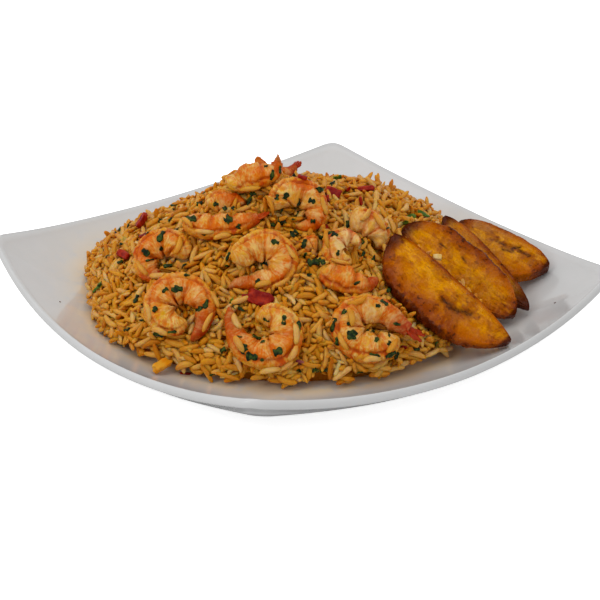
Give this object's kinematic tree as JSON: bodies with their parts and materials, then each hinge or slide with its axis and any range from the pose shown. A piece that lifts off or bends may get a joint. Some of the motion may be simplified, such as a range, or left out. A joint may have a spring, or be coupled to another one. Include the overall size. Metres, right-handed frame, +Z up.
{
  "type": "plate of shrimp rice",
  "caption": "Square white plate heaped with golden rice, curled cooked shrimps, chopped herbs and fried plantain slices.",
  "frame": {"origin": "centre of the plate on the surface it stands on", "axes": "+Z up out of the plate; the plate's sides run along X and Y; the corner at (+X, -Y) is nearest the camera of the picture"},
  "size_m": [0.26, 0.26, 0.0885],
  "materials": {
    "glazed_plate": "glossy white glaze",
    "golden_rice": "cooked long-grain rice in a golden seasoned sauce",
    "cooked_shrimp": "peeled cooked shrimp, moist, orange bands on pinkish white",
    "fried_plantain": "fried, golden middle with browned edges, oily",
    "red_pepper": "moist red skin",
    "orange_pepper": "moist orange skin"
  },
  "bodies": {
    "root": {"pepper_orange_front": "orange_pepper", "pepper_red_centre": "red_pepper", "pepper_red_edge": "red_pepper", "pepper_red_left": "red_pepper", "pepper_red_strip": "red_pepper", "pepper_red_top": "red_pepper", "plantain_back": "fried_plantain", "plantain_front": "fried_plantain", "plantain_second": "fried_plantain", "plantain_third": "fried_plantain", "plate": "glazed_plate", "rice_heap": "golden_rice", "shrimp_centre": "cooked_shrimp", "shrimp_front": "cooked_shrimp", "shrimp_front_left": "cooked_shrimp", "shrimp_front_right": "cooked_shrimp", "shrimp_left": "cooked_shrimp", "shrimp_lower_arm": "cooked_shrimp", "shrimp_right": "cooked_shrimp", "shrimp_small": "cooked_shrimp", "shrimp_top": "cooked_shrimp", "shrimp_top_back": "cooked_shrimp", "shrimp_top_tail": "cooked_shrimp", "shrimp_under_curl": "cooked_shrimp", "shrimp_upper_arm": "cooked_shrimp", "shrimp_upper_right": "cooked_shrimp", "shrimp_white_curl": "cooked_shrimp"}
  },
  "joints": []
}
